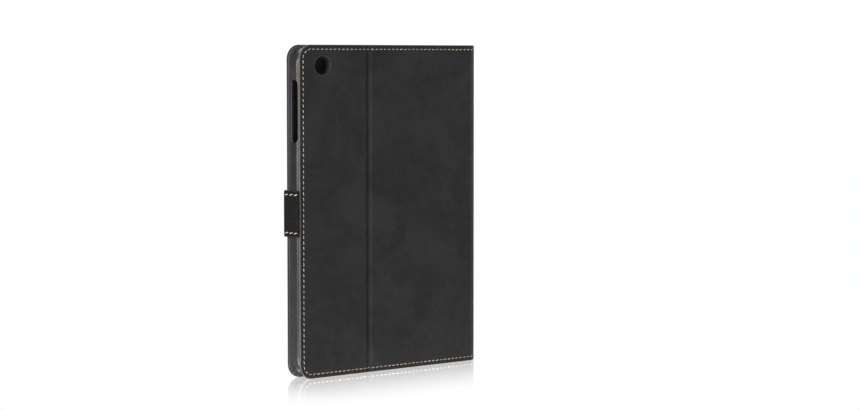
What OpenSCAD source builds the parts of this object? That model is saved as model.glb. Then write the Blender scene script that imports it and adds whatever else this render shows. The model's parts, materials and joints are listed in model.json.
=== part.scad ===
// Folio case for a small tablet.
// It stands closed on its short edge: +Z is up along the tablet's long side, the front cover faces -Y,
// the back cover faces +Y, the spine is at -X and the strap closes over the free edge at +X.
// The origin is the centre of the closed case's footprint, on the surface that it stands on.

/* [Case] */
// Height of the covers
case_h = 208; // [204.5:0.5:215]
// Width of the closed case, spine to free edge
case_w = 147; // [145.5:0.5:154]
// Radius of the covers' corners at the free edge
corner_r = 9; // [5:0.5:12]
// Radius of the covers' corners at the spine
spine_corner_r = 1.5; // [1:0.25:3]

/* [Layers] */
// Thickness of the outer leather
skin_t = 0.7; // [0.5:0.1:1]
// Thickness of the stiffening board
board_t = 0.8; // [0.6:0.1:1.2]
// Thickness of the inner lining
lining_t = 0.5; // [0.4:0.1:0.8]
// Width of leather turned round the edge of each board
turn_w = 1.2; // [1:0.1:2]
// Distance of the stitching from the edge
stitch_in = 2.8; // [2.4:0.1:3.5]

/* [Tablet] */
// Length of the tablet
tablet_h = 200; // [198:0.5:201]
// Width of the tablet
tablet_w = 134.7; // [133:0.1:135.5]
// Thickness of the tablet with its clearance
tablet_t = 7.3; // [7:0.1:7.6]
// Radius of the tablet's corners
tablet_corner_r = 9; // [6:0.5:11]

/* [Tray] */
// Thickness of the tray's side walls
wall_t = 2; // [1.6:0.1:2.2]
// Thickness of the tray's floor
floor_t = 0.8; // [0.7:0.1:1]
// Thickness of the lip that holds the tablet in
lip_t = 0.9; // [0.8:0.1:1]
// How far the lip reaches over the tablet's edge
lip_over = 1.4; // [1:0.1:2]
// Radius of the tray's front edges
tray_edge_r = 1.5; // [1:0.1:3]
// Radius of the tray's back edges
tray_back_r = 2.4; // [1:0.1:2.6]

/* [Crease] */
// Distance of the stand's crease from the free edge
crease_from_edge = 55; // [50:0.5:60]
// Width of the crease between the boards
crease_w = 4; // [3.6:0.1:5]

/* [Camera window] */
// Distance of the window's centre from the free edge
window_from_edge = 18; // [16:0.5:20]
// Distance of the window's centre from the top edge
window_from_top = 13; // [12:0.5:15]
// Diameter of the window
window_d = 12.4; // [10:0.2:14]

/* [Strap] */
// Width of the strap
strap_w = 29; // [24:0.5:34]
// Height of the strap's centre line
strap_z = 103.2; // [95:0.1:112]
// How far the strap's tab reaches over the front cover
tab_l = 34; // [28:0.5:40]
// Thickness of the strap's outer leather
strap_outer_t = 0.8; // [0.7:0.1:1]
// Thickness of the strap's lining
strap_lining_t = 0.6; // [0.5:0.1:0.8]

/* [Hidden] */
$fn = 48;

// Running gap between bodies, and how far a cutter passes a face
gap = 0.3;
eps = 1;

// Thickness of a whole cover panel and of the strap
panel_t = skin_t + board_t + lining_t;
strap_t = strap_outer_t + strap_lining_t;
adhesive_t = 0.3;
tray_t = floor_t + tablet_t + lip_t;
case_t = 2*panel_t + gap + tray_t + adhesive_t;

// The strap stands proud of the free edge and of the front cover, so the footprint's centre is moved by half
strap_proud = gap + strap_t;
x_spine = -(case_w + strap_proud)/2;
x_free = x_spine + case_w;
y_front = -(case_t - strap_proud)/2;
y_back = y_front + case_t;

// Faces between the layers, from the outside in
y_back_skin = y_back - skin_t;
y_back_board = y_back_skin - board_t;
y_back_in = y_back - panel_t;
y_front_skin = y_front + skin_t;
y_front_board = y_front_skin + board_t;
y_front_in = y_front + panel_t;
x_spine_in = x_spine + panel_t;

// Fold lines of the spine, each the axis of a rolled edge as thick as a panel
roll_r = panel_t/2;
x_roll = x_spine + roll_r;
y_roll_back = y_back - roll_r;
y_roll_front = y_front + roll_r;
x_cover = x_roll + roll_r + gap;

// Crease: the rolled edge is two layers of leather, level with the inside of the back cover
crease_x = x_free - crease_from_edge;
crease_roll_r = 0.6;
crease_y = y_back_in + crease_roll_r;
crease_narrow_x = crease_x + crease_w/2;
crease_wide_x = crease_x - crease_w/2;

// Hinge groove pressed into the front cover beside the spine
hinge_groove_x = x_spine + 6.4;
hinge_groove_w = 2;
hinge_groove_depth = 0.7;
front_board_x = x_spine + 8;

// Tray, this far inside the covers' free edge
tray_in = 0.4;
fit_gap = 0.15;
tray_w = tablet_w + 2*(fit_gap + wall_t);
tray_h = tablet_h + 2*(fit_gap + wall_t);
tray_x1 = x_free - tray_in;
tray_x0 = tray_x1 - tray_w;
tray_y1 = y_back_in - adhesive_t;
tray_y0 = tray_y1 - tray_t;
tray_z0 = (case_h - tray_h)/2;
tray_z1 = tray_z0 + tray_h;
bay_x0 = tray_x0 + wall_t;
bay_x1 = tray_x1 - wall_t;
bay_y0 = tray_y0 + lip_t;
bay_y1 = tray_y1 - floor_t;
bay_z0 = tray_z0 + wall_t;
bay_z1 = tray_z1 - wall_t;
tray_corner_r = tablet_corner_r + wall_t;

// Cut-outs in the tray's walls for buttons and sockets: distances from the tray's nearest end or side
button_slot_top = 19.9;
button_slot_l = 39;
slot_w = 5.2;
slot_y = bay_y1 - 0.4 - slot_w/2;
port_l = 44;
socket_l = 12;
socket_from_edge = 19;
power_l = 18;
power_from_edge = 24;
camera_hole_d = 10;

// Camera window
window_x = x_free - window_from_edge;
window_z = case_h - window_from_top;

// Adhesive sheet between the tray and the narrow panel
adhesive_in = 4;
adhesive_x0 = crease_narrow_x + 1;

// Stitching: one thread of this width, pulled this deep into the leather and level with it
thread_w = 0.6;
thread_d = 0.3;

// Stand ridges inside the front cover: distances from the spine, and their size
ridge_x = [52, 62, 72];
ridge_w = 3;
ridge_l = 150;
ridge_t = 0.6;

// Strap: fold lines are rolled edges as thick as the strap
strap_r = strap_t/2;
strap_x = x_free + gap + strap_r;
strap_y_back = y_back_skin - board_t/2;
strap_y_front = y_front - gap - strap_r;
strap_z0 = strap_z - strap_w/2;
strap_z1 = strap_z + strap_w/2;
tail_l = 14;
tail_t = board_t;
tab_x = x_free - tab_l;
strap_stitch_in = 2.6;

// Clasp magnet in the tab, and the steel plate that it holds to
magnet_d = 12;
magnet_t = 0.6;
magnet_x = tab_x + 15;
keeper_w = 16;
keeper_h = 20;

// Colours
leather_grey = [0.17, 0.17, 0.17];
lining_grey = [0.32, 0.31, 0.30];
board_grey = [0.55, 0.50, 0.44];
tpu_grey = [0.36, 0.36, 0.37];
thread_tan = [0.80, 0.66, 0.50];
steel = [0.62, 0.63, 0.65];
glue_clear = [0.85, 0.85, 0.80];

// ---------------------------------------------------------------- shared shapes

// Upright plate: a 2D outline in X and Z, from y0 with thickness t towards +Y
module upright(y0, t) {
    translate([0, y0 + t, 0]) rotate([90, 0, 0]) linear_extrude(t) children();
}

// Plate across the spine or the strap's side: a 2D outline in Y and Z, from x0 with thickness t towards +X
module sideways(x0, t) {
    translate([x0, 0, 0]) rotate([90, 0, 90]) linear_extrude(t) children();
}

// Rectangle with one corner radius at its low side and another at its high side
module rounded(a0, a1, b0, b1, r_low, r_high) {
    translate([a0 + r_low, b0]) square([a1 - r_high - a0 - r_low, b1 - b0]);
    if (r_low > 0) {
        translate([a0, b0 + r_low]) square([r_low, b1 - b0 - 2*r_low]);
        for (b = [b0 + r_low, b1 - r_low]) translate([a0 + r_low, b]) circle(r_low);
    }
    if (r_high > 0) {
        translate([a1 - r_high, b0 + r_high]) square([r_high, b1 - b0 - 2*r_high]);
        for (b = [b0 + r_high, b1 - r_high]) translate([a1 - r_high, b]) circle(r_high);
    }
}

// Slot with round ends, l long and w wide, centred
module slot(l, w) {
    square([l - w, w], center = true);
    for (s = [-1, 1]) translate([s*(l - w)/2, 0]) circle(w/2);
}

// Outline of a closed cover, drawn inset by d all round
module cover_outline(d) {
    rounded(x_spine + d, x_free - d, d, case_h - d, max(spine_corner_r - d, 0), corner_r - d);
}

// Outline of the narrow back panel, inset by d at its three outer edges and by dc at the crease
module narrow_outline(d, dc) {
    rounded(crease_narrow_x + dc, x_free - d, d, case_h - d, 0, corner_r - d);
}

// Round hole on the window's axis through a layer that starts at y0 and is t thick
module round_hole(y0, t, d) {
    translate([window_x, y0 - eps, window_z]) rotate([-90, 0, 0]) cylinder(d = d, h = t + 2*eps);
}

// Thread in the plane of a cover, running at the stitching distance from its edge
module cover_thread() {
    difference() {
        cover_outline(stitch_in - thread_w/2);
        cover_outline(stitch_in + thread_w/2);
    }
}

// The part of a 2D outline between two heights on the X axis
module between(a0, a1) {
    intersection() {
        children();
        translate([a0, -eps]) square([a1 - a0, case_h + 2*eps]);
    }
}

// ---------------------------------------------------------------- tray

// Cross-section of the tray's wall: its outer face is at x = 0, and y is the depth from the tray's back
module wall_profile() {
    reach = wall_t + lip_over;
    round_y = tray_t - tray_edge_r;
    difference() {
        union() {
            translate([-reach, 0]) square([reach - tray_back_r, round_y]);
            translate([-tray_back_r, tray_back_r]) square([tray_back_r, round_y - tray_back_r]);
            // round back edge
            translate([-tray_back_r, 0]) intersection() {
                square(tray_back_r);
                translate([0, tray_back_r]) circle(tray_back_r);
            }
            // round front edge
            translate([-reach, round_y]) intersection() {
                square([reach, tray_edge_r]);
                translate([reach - tray_edge_r, 0]) circle(tray_edge_r);
            }
            if (reach > tray_edge_r)
                translate([-reach, round_y]) square([reach - tray_edge_r, tray_edge_r]);
        }
        // the tablet's edge goes here
        translate([-reach - eps, floor_t]) square([reach + eps - wall_t, tablet_t]);
    }
}

// Tray lying on its back, with its lower left corner at the origin
module flat_tray() {
    r = tray_corner_r;
    translate([tray_back_r, tray_back_r, 0]) linear_extrude(floor_t)
        rounded(0, tray_w - 2*tray_back_r, 0, tray_h - 2*tray_back_r, r - tray_back_r, r - tray_back_r);
    for (side = [0, 1]) {
        // long walls
        translate([side*tray_w, side == 0 ? tray_h - r : r, 0]) rotate([90, 0, side == 0 ? 180 : 0])
            translate([0, 0, -(tray_h - 2*r)]) linear_extrude(tray_h - 2*r) wall_profile();
        // short walls
        translate([side == 0 ? r : tray_w - r, side*tray_h, 0]) rotate([90, 0, side == 0 ? -90 : 90])
            translate([0, 0, -(tray_w - 2*r)]) linear_extrude(tray_w - 2*r) wall_profile();
    }
    // corners
    for (corner = [[0, 0, 180], [1, 0, 270], [1, 1, 0], [0, 1, 90]])
        translate([corner[0] == 0 ? r : tray_w - r, corner[1] == 0 ? r : tray_h - r, 0])
            rotate(corner[2]) rotate_extrude(angle = 90) translate([r, 0]) wall_profile();
}

module tpu_tray() {
    color(tpu_grey) difference() {
        translate([tray_x0, tray_y1, tray_z0]) rotate([90, 0, 0]) flat_tray();
        // hole for the camera
        round_hole(bay_y1, floor_t, camera_hole_d);
        // slot for the side buttons
        translate([0, slot_y, tray_z1 - button_slot_top - button_slot_l/2])
            sideways(bay_x1 - eps, wall_t + 2*eps) rotate(90) slot(button_slot_l, slot_w);
        // slot for the port and the speakers, in the bottom wall
        translate([(tray_x0 + tray_x1)/2, slot_y, tray_z0 - eps])
            linear_extrude(wall_t + 2*eps) slot(port_l, slot_w);
        // sockets in the top wall
        translate([tray_x0 + socket_from_edge, slot_y, bay_z1 - eps])
            linear_extrude(wall_t + 2*eps) slot(socket_l, slot_w);
        translate([tray_x1 - power_from_edge, slot_y, bay_z1 - eps])
            linear_extrude(wall_t + 2*eps) slot(power_l, slot_w);
    }
}

module tray_adhesive() {
    color(glue_clear) difference() {
        upright(tray_y1, adhesive_t)
            rounded(adhesive_x0, tray_x1 - adhesive_in, tray_z0 + adhesive_in, tray_z1 - adhesive_in, 0, 6);
        round_hole(tray_y1, adhesive_t, window_d + 3);
    }
}

// ---------------------------------------------------------------- narrow back panel

module camera_window() {
    round_hole(y_back_in, panel_t, window_d);
}

// Block that the thread fills in the outer face of the back cover
module back_thread() {
    upright(y_back - thread_d, thread_d) cover_thread();
}

// The strap's tail lies in a notch at the board's free edge
module tail_block(d) {
    translate([x_free - tail_l, strap_y_back - tail_t/2 - d, strap_z0 + 1])
        cube([tail_l, tail_t + 2*d, strap_w - 2]);
}

module narrow_back_leather() {
    color(leather_grey) difference() {
        union() {
            upright(y_back_board, skin_t + board_t) narrow_outline(0, 0);
            // leather in the crease, ending in the roll that it folds about
            translate([crease_x, y_back_in, 0])
                cube([crease_w/2 + turn_w, 2*crease_roll_r, case_h]);
            translate([crease_x, crease_y, 0]) cylinder(r = crease_roll_r, h = case_h);
        }
        upright(y_back_board - eps, board_t + eps) narrow_outline(turn_w, turn_w);
        tail_block(0);
        camera_window();
        back_thread();
    }
}

module narrow_back_board() {
    color(board_grey) difference() {
        upright(y_back_board, board_t) narrow_outline(turn_w, turn_w);
        tail_block(eps);
        camera_window();
    }
}

module narrow_back_lining() {
    color(lining_grey) difference() {
        upright(y_back_in, lining_t) narrow_outline(0.6, turn_w);
        camera_window();
    }
}

module narrow_back_stitching() {
    color(thread_tan) upright(y_back - thread_d, thread_d) between(crease_narrow_x, x_free) cover_thread();
}

module strap_tail() {
    color(leather_grey) tail_block(0);
}

// ---------------------------------------------------------------- wide back panel

module wide_outline(d) {
    translate([x_cover + d, d]) square([crease_wide_x - x_cover - 2*d, case_h - 2*d]);
}

module wide_back_leather() {
    color(leather_grey) difference() {
        union() {
            upright(y_back_board, skin_t + board_t) wide_outline(0);
            // leather in the crease, ending a running gap short of the roll
            translate([crease_wide_x - turn_w, y_back_in, 0])
                cube([crease_w/2 + turn_w - crease_roll_r - gap, 2*crease_roll_r, case_h]);
        }
        upright(y_back_board - eps, board_t + eps) wide_outline(turn_w);
        back_thread();
    }
}

module wide_back_board() {
    color(board_grey) upright(y_back_board, board_t) wide_outline(turn_w);
}

module wide_back_lining() {
    color(lining_grey) upright(y_back_in, lining_t)
        translate([x_cover, 0.6]) square([crease_wide_x - turn_w - x_cover, case_h - 1.2]);
}

module wide_back_stitching() {
    color(thread_tan) upright(y_back - thread_d, thread_d) between(x_cover, crease_wide_x) cover_thread();
}

// ---------------------------------------------------------------- spine

// Outline of the spine between its rolled edges, in Y and Z, inset by d
module spine_outline(d) {
    translate([y_roll_front + d, d]) square([y_roll_back - y_roll_front - 2*d, case_h - 2*d]);
}

// The covers' thread carries on across both ends of the spine
module spine_thread() {
    for (z = [stitch_in, case_h - stitch_in]) sideways(x_spine, thread_d)
        translate([y_roll_front, z - thread_w/2]) square([y_roll_back - y_roll_front, thread_w]);
}

module spine_leather() {
    color(leather_grey) difference() {
        union() {
            for (y = [y_roll_front, y_roll_back])
                translate([x_roll, y, 0]) cylinder(r = roll_r, h = case_h);
            difference() {
                sideways(x_spine, skin_t + board_t) spine_outline(0);
                sideways(x_spine + skin_t, board_t + eps) spine_outline(turn_w);
            }
        }
        spine_thread();
    }
}

module spine_board() {
    color(board_grey) sideways(x_spine + skin_t, board_t) spine_outline(turn_w);
}

module spine_lining() {
    color(lining_grey) sideways(x_spine_in - lining_t, lining_t) spine_outline(roll_r);
}

module spine_stitching() {
    color(thread_tan) spine_thread();
}

// ---------------------------------------------------------------- front cover

module front_outline(a0, d) {
    rounded(a0, x_free - d, d, case_h - d, 0, corner_r - d);
}

module front_pocket() {
    upright(y_front_skin, board_t + eps) front_outline(front_board_x, turn_w);
}

// Thread in the front cover's outer face
module front_thread() {
    upright(y_front, thread_d) cover_thread();
}

module front_leather() {
    color(leather_grey) difference() {
        upright(y_front, skin_t + board_t) front_outline(x_cover, 0);
        front_pocket();
        translate([hinge_groove_x - hinge_groove_w/2, y_front - eps, -eps])
            cube([hinge_groove_w, eps + hinge_groove_depth, case_h + 2*eps]);
        front_thread();
    }
}

module keeper_block() {
    translate([magnet_x - keeper_w/2, y_front_skin, strap_z - keeper_h/2])
        cube([keeper_w, board_t, keeper_h]);
}

module front_board() {
    color(board_grey) difference() {
        upright(y_front_skin, board_t) front_outline(front_board_x, turn_w);
        keeper_block();
    }
}

module keeper_plate() {
    color(steel) keeper_block();
}

module front_lining() {
    color(lining_grey) upright(y_front_board, lining_t) front_outline(x_cover, 0.6);
}

// The tablet's long edge stands in front of one of these when the case is a stand
module stand_ridges() {
    color(lining_grey) for (x = ridge_x)
        translate([x_spine + x - ridge_w/2, y_front_in, (case_h - ridge_l)/2])
            cube([ridge_w, ridge_t, ridge_l]);
}

module front_stitching() {
    color(thread_tan) upright(y_front, thread_d)
        between(hinge_groove_x + hinge_groove_w/2, x_free) cover_thread();
}

// ---------------------------------------------------------------- strap

// Layer of the strap's side: its distance from the strap's inner face, and its thickness
module strap_side_layer(t0, t) {
    translate([x_free + gap + t0, strap_y_front + strap_r + gap, strap_z0])
        cube([t, strap_y_back - strap_y_front - strap_r - gap, strap_w]);
}

// Two rows of thread along the strap's side, in its outer face
module strap_side_thread() {
    for (z = [strap_z0 + strap_stitch_in, strap_z1 - strap_stitch_in])
        translate([x_free + gap + strap_t - thread_d, strap_y_front + strap_r + gap, z - thread_w/2])
            cube([thread_d, strap_y_back - strap_y_front - strap_r - gap, thread_w]);
}

module strap_side_leather() {
    color(leather_grey) difference() {
        union() {
            strap_side_layer(strap_lining_t, strap_outer_t);
            // the roll that folds in the back cover's edge
            translate([strap_x, strap_y_back, strap_z0]) cylinder(r = strap_r, h = strap_w);
        }
        translate([x_free, strap_y_back - strap_t, strap_z0 - eps])
            cube([gap + strap_lining_t, strap_t, strap_w + 2*eps]);
        strap_side_thread();
    }
}

module strap_side_lining() {
    color(lining_grey) strap_side_layer(0, strap_lining_t);
}

module strap_side_stitching() {
    color(thread_tan) strap_side_thread();
}

// Outline of the tab in X and Z, inset by d: straight at the edge, with a half-round end
module tab_outline(d) {
    r = strap_w/2 - d;
    translate([tab_x + strap_w/2, strap_z - r]) square([strap_x - tab_x - strap_w/2, 2*r]);
    translate([tab_x + strap_w/2, strap_z]) circle(r);
}

// The magnet lies in a recess in the back of the tab's leather
module magnet_disc() {
    translate([magnet_x, y_front - gap - strap_lining_t, strap_z])
        rotate([90, 0, 0]) cylinder(d = magnet_d, h = magnet_t);
}

module tab_thread() {
    upright(y_front - gap - strap_t, thread_d) difference() {
        tab_outline(strap_stitch_in - thread_w/2);
        tab_outline(strap_stitch_in + thread_w/2);
    }
}

module tab_leather() {
    color(leather_grey) difference() {
        union() {
            upright(y_front - gap - strap_t, strap_outer_t) tab_outline(0);
            translate([strap_x, strap_y_front, strap_z0]) cylinder(r = strap_r, h = strap_w);
        }
        magnet_disc();
        tab_thread();
        translate([tab_x, y_front - gap - strap_lining_t, strap_z0 - eps])
            cube([strap_x - tab_x, strap_lining_t + eps, strap_w + 2*eps]);
    }
}

module tab_lining() {
    color(lining_grey) upright(y_front - gap - strap_lining_t, strap_lining_t) tab_outline(0);
}

module clasp_magnet() {
    color(steel) magnet_disc();
}

module tab_stitching() {
    color(thread_tan) tab_thread();
}

// ---------------------------------------------------------------- one node at a time

tpu_tray();
tray_adhesive();
narrow_back_leather();
narrow_back_board();
narrow_back_lining();
narrow_back_stitching();
strap_tail();
wide_back_leather();
wide_back_board();
wide_back_lining();
wide_back_stitching();
spine_leather();
spine_board();
spine_lining();
spine_stitching();
front_leather();
front_board();
front_lining();
front_stitching();
stand_ridges();
keeper_plate();
strap_side_leather();
strap_side_lining();
strap_side_stitching();
tab_leather();
tab_lining();
tab_stitching();
clasp_magnet();
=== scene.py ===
import json
import math

import bmesh
import bpy
import numpy as np
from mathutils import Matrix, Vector


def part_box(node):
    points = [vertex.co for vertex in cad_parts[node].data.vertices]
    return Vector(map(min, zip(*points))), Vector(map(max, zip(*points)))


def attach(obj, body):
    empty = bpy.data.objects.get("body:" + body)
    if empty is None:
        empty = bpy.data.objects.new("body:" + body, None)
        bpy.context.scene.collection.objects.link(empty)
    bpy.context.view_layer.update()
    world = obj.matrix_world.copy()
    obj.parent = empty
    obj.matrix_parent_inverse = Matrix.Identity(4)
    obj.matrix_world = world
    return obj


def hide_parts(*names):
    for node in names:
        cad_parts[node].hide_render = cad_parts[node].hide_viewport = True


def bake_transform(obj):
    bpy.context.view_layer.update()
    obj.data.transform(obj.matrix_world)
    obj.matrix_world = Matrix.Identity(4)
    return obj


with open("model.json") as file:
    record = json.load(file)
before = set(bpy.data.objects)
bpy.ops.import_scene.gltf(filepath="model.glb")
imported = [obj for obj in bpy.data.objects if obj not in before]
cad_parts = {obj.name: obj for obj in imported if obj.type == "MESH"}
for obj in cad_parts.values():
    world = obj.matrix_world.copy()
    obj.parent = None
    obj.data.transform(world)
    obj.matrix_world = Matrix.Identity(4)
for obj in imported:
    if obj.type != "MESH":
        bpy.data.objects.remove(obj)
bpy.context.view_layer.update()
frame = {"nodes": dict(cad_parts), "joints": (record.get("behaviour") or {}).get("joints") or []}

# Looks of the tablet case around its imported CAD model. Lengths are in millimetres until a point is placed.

MM = 0.001


def box_mm(node):
    """Lowest and highest corner of a CAD node in millimetres."""
    low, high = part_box(node)
    return np.array(low) / MM, np.array(high) / MM


def hinge_mm(name):
    """X and Y of a joint's axis in millimetres."""
    for joint in frame["joints"]:
        if joint["name"] == name:
            return joint["pos_m"][0] / MM, joint["pos_m"][1] / MM
    raise ValueError(name)


# ---------------------------------------------------------------- sizes from the CAD model

_, BACK_HIGH = box_mm("narrow_back_leather")
SPINE_LOW, _ = box_mm("spine_leather")
FRONT_LOW, _ = box_mm("front_leather")
X_FREE, Y_BACK, HEIGHT = BACK_HIGH
X_SPINE = SPINE_LOW[0]
Y_FRONT = FRONT_LOW[1]
CASE_W = X_FREE - X_SPINE
CASE_T = Y_BACK - Y_FRONT

CREASE_X, CREASE_Y = hinge_mm("crease_fold")
CORNER_R = 9.0
SKIN_T = 0.7
TURN_T = 1.5
PANEL_T = 2.0
TURN_W = 1.2
STITCH_IN = 2.8
STITCH_PITCH = 3.4
INNER_RING = 6.0

# Rounded corner between a cover and the spine: a wide arc, then a tight one
WIDE_ARC_R, WIDE_ARC_TURN = 11.0, 27.0
TIGHT_ARC_R, TIGHT_ARC_TURN = 2.4, 63.0

# Folds pressed into the leather: half width and depth
CREASE_HALF, CREASE_DEPTH = 3.5, 1.25
GROOVE_HALF, GROOVE_DEPTH = 1.9, 0.75
GROOVE_FROM_SPINE = 6.4
PIECE_PAST_CREASE = 1.6

# Strap
STRAP_LOW, STRAP_HIGH = box_mm("strap_side_leather")
TAB_LOW, _ = box_mm("tab_leather")
STRAP_Z0, STRAP_Z1 = STRAP_LOW[2], STRAP_HIGH[2]
STRAP_W = STRAP_Z1 - STRAP_Z0
STRAP_SKIN_T = 0.8
STRAP_T = 1.4
STRAP_STITCH_IN = 2.6
STRAP_ARC_R = 1.7
STRAP_TUCK = 2.0

# Window for the camera
WINDOW_FROM_EDGE, WINDOW_FROM_TOP = 18.0, 13.0
WINDOW_HALF_W, WINDOW_HALF_H = 6.1, 5.6
TRAY_HOLE_HALF_W, TRAY_HOLE_HALF_H = 5.3, 4.8
WINDOW_X, WINDOW_Z = X_FREE - WINDOW_FROM_EDGE, HEIGHT - WINDOW_FROM_TOP
LEATHER_CUT_OUT, LINING_CUT_OUT = 0.75, 0.6

# Stitches: length, width, height above the surface, and lean in degrees
COVER_STITCH = (2.3, 0.5, 0.2, 8)
LINING_STITCH = (2.3, 0.46, 0.1, -8)
STRAP_SIDE_STITCH = (3.4, 0.62, 0.2, -14)
STRAP_TAB_STITCH = (2.4, 0.6, 0.2, 8)
COVER_STITCH_DEPTH, LINING_STITCH_DEPTH, STRAP_STITCH_DEPTH = 0.12, PANEL_T - 0.05, 0.10


# ---------------------------------------------------------------- lines seen from above

class Line:
    """A line of straights and arcs seen from above. Depth is measured from it towards the inside."""

    def __init__(self, start, heading, outside, parts):
        """outside is 1 where the outside lies on the right of the direction of travel, and -1 on the left."""
        self.outside = outside
        self.parts = []
        x, y = start
        angle = math.radians(heading)
        s = 0.0
        for length, turn in parts:
            turn = math.radians(turn)
            self.parts.append((s, s + length, x, y, angle, turn))
            x, y, angle = self._step(x, y, angle, turn, length, length)
            s += length
        self.length = s

    def _normal(self, angle):
        return self.outside * np.sin(angle), -self.outside * np.cos(angle)

    def _step(self, x, y, angle, turn, length, ds):
        if turn == 0:
            return x + np.cos(angle) * ds, y + np.sin(angle) * ds, angle + 0 * ds
        radius = length / turn
        nx, ny = self._normal(angle)
        new_angle = angle + self.outside * ds / radius
        mx, my = self._normal(new_angle)
        return x - nx * radius + mx * radius, y - ny * radius + my * radius, new_angle

    def place(self, s, z, depth):
        """Points in metres for arrays of distance along the line, height and depth."""
        s, z, depth = (np.asarray(v, float) for v in (s, z, depth))
        x, y, angle = np.zeros_like(s), np.zeros_like(s), np.zeros_like(s)
        for i, (s0, s1, x0, y0, a0, turn) in enumerate(self.parts):
            here = (s >= s0) & (s <= s1)
            if i == 0:
                here |= s < s0
            if i == len(self.parts) - 1:
                here |= s > s1
            x[here], y[here], angle[here] = self._step(x0, y0, a0, turn, s1 - s0, s[here] - s0)
        nx, ny = self._normal(angle)
        return np.stack([x - nx * depth, y - ny * depth, z], axis=-1) * MM


def arc_length(radius, turn):
    return radius * math.radians(turn)


def corner_extent():
    """How far a rounded corner of the spine reaches along a cover and along the spine."""
    a, b = math.radians(TIGHT_ARC_TURN), math.radians(WIDE_ARC_TURN)
    along_cover = TIGHT_ARC_R * (1 - math.cos(a)) + WIDE_ARC_R * math.sin(b)
    along_spine = TIGHT_ARC_R * math.sin(a) + WIDE_ARC_R * (1 - math.cos(b))
    return along_cover, along_spine


CORNER_X, CORNER_Y = corner_extent()
FLAT_L = CASE_W - CORNER_X
WIDE_L = arc_length(WIDE_ARC_R, WIDE_ARC_TURN)
TIGHT_L = arc_length(TIGHT_ARC_R, TIGHT_ARC_TURN)
SPINE_L = CASE_T - 2 * CORNER_Y
COVER = Line((X_FREE, Y_BACK), 180, 1, [
    (FLAT_L, 0), (WIDE_L, WIDE_ARC_TURN), (TIGHT_L, TIGHT_ARC_TURN), (SPINE_L, 0),
    (TIGHT_L, TIGHT_ARC_TURN), (WIDE_L, WIDE_ARC_TURN), (FLAT_L, 0)])
S_END = COVER.length
S_SPINE = S_END / 2
S_CREASE = X_FREE - CREASE_X
S_CUT = S_CREASE + CREASE_HALF + PIECE_PAST_CREASE
S_GROOVE = S_END - (CASE_W - GROOVE_FROM_SPINE)

STRAP_FOLD_L = arc_length(STRAP_ARC_R, 90)
STRAP_START_X = X_FREE - STRAP_TUCK
STRAP_BACK_Y = STRAP_HIGH[1]
STRAP_SIDE_L = STRAP_BACK_Y - TAB_LOW[1] - 2 * STRAP_ARC_R
STRAP_TAB_L = STRAP_HIGH[0] - STRAP_ARC_R - TAB_LOW[0]
STRAP = Line((STRAP_START_X, STRAP_BACK_Y), 0, -1, [
    (STRAP_HIGH[0] - STRAP_ARC_R - STRAP_START_X, 0), (STRAP_FOLD_L, 90), (STRAP_SIDE_L, 0),
    (STRAP_FOLD_L, 90), (STRAP_TAB_L, 0)])
U_END = STRAP.length
U_BACK_FOLD = STRAP_HIGH[0] - STRAP_ARC_R - STRAP_START_X
U_CUT = U_BACK_FOLD + STRAP_FOLD_L + STRAP_SIDE_L / 2


def bump(s, centre, half):
    """Smooth rise from 0 at centre +- half to 1 at the centre."""
    t = np.clip(np.abs(np.asarray(s, float) - centre) / half, 0, 1)
    return (0.5 + 0.5 * np.cos(math.pi * t)) ** 0.8


def cover_relief(s):
    """Depth of the crease and of the hinge groove below the covers' outer face."""
    return CREASE_DEPTH * bump(s, S_CREASE, CREASE_HALF) + GROOVE_DEPTH * bump(s, S_GROOVE, GROOVE_HALF)


def no_relief(s):
    return 0 * np.asarray(s, float)


# ---------------------------------------------------------------- shells of leather and lining

# Each profile goes over the edge from the outer face to the inner one: distance from the edge, and depth
LEATHER_PROFILE = [
    (INNER_RING, 0), (4.4, 0), (3.5, 0.015), (3.15, 0.07), (STITCH_IN, 0.13), (2.45, 0.07), (2.1, 0.02),
    (1.5, 0.02), (0.9, 0.05), (0.5, 0.12), (0.22, 0.25), (0.06, 0.44), (0, 0.7), (0.0, 1.0),
    (0.08, 1.25), (0.3, 1.44), (0.7, TURN_T), (TURN_W, TURN_T), (TURN_W, SKIN_T), (INNER_RING, SKIN_T)]
LINING_PROFILE = [
    (INNER_RING, TURN_T), (0.6, TURN_T), (0.42, 1.58), (0.38, 1.75), (0.48, 1.9), (0.8, PANEL_T),
    (2.2, PANEL_T), (STITCH_IN, 1.93), (3.4, PANEL_T), (INNER_RING, PANEL_T)]
STRAP_PROFILE = [
    (5.0, 0), (3.3, 0.01), (2.9, 0.06), (STRAP_STITCH_IN, 0.11), (2.3, 0.06), (1.9, 0.01), (1.2, 0.02),
    (0.7, 0.08), (0.3, 0.2), (0.06, 0.4), (0, 0.58), (0.1, 0.74), (0.3, STRAP_SKIN_T), (5.0, STRAP_SKIN_T)]
STRAP_LINING_PROFILE = [
    (5.0, STRAP_SKIN_T), (0.5, STRAP_SKIN_T), (0.28, 0.86), (0.22, 1.05), (0.3, 1.26), (0.6, STRAP_T),
    (5.0, STRAP_T)]


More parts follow.
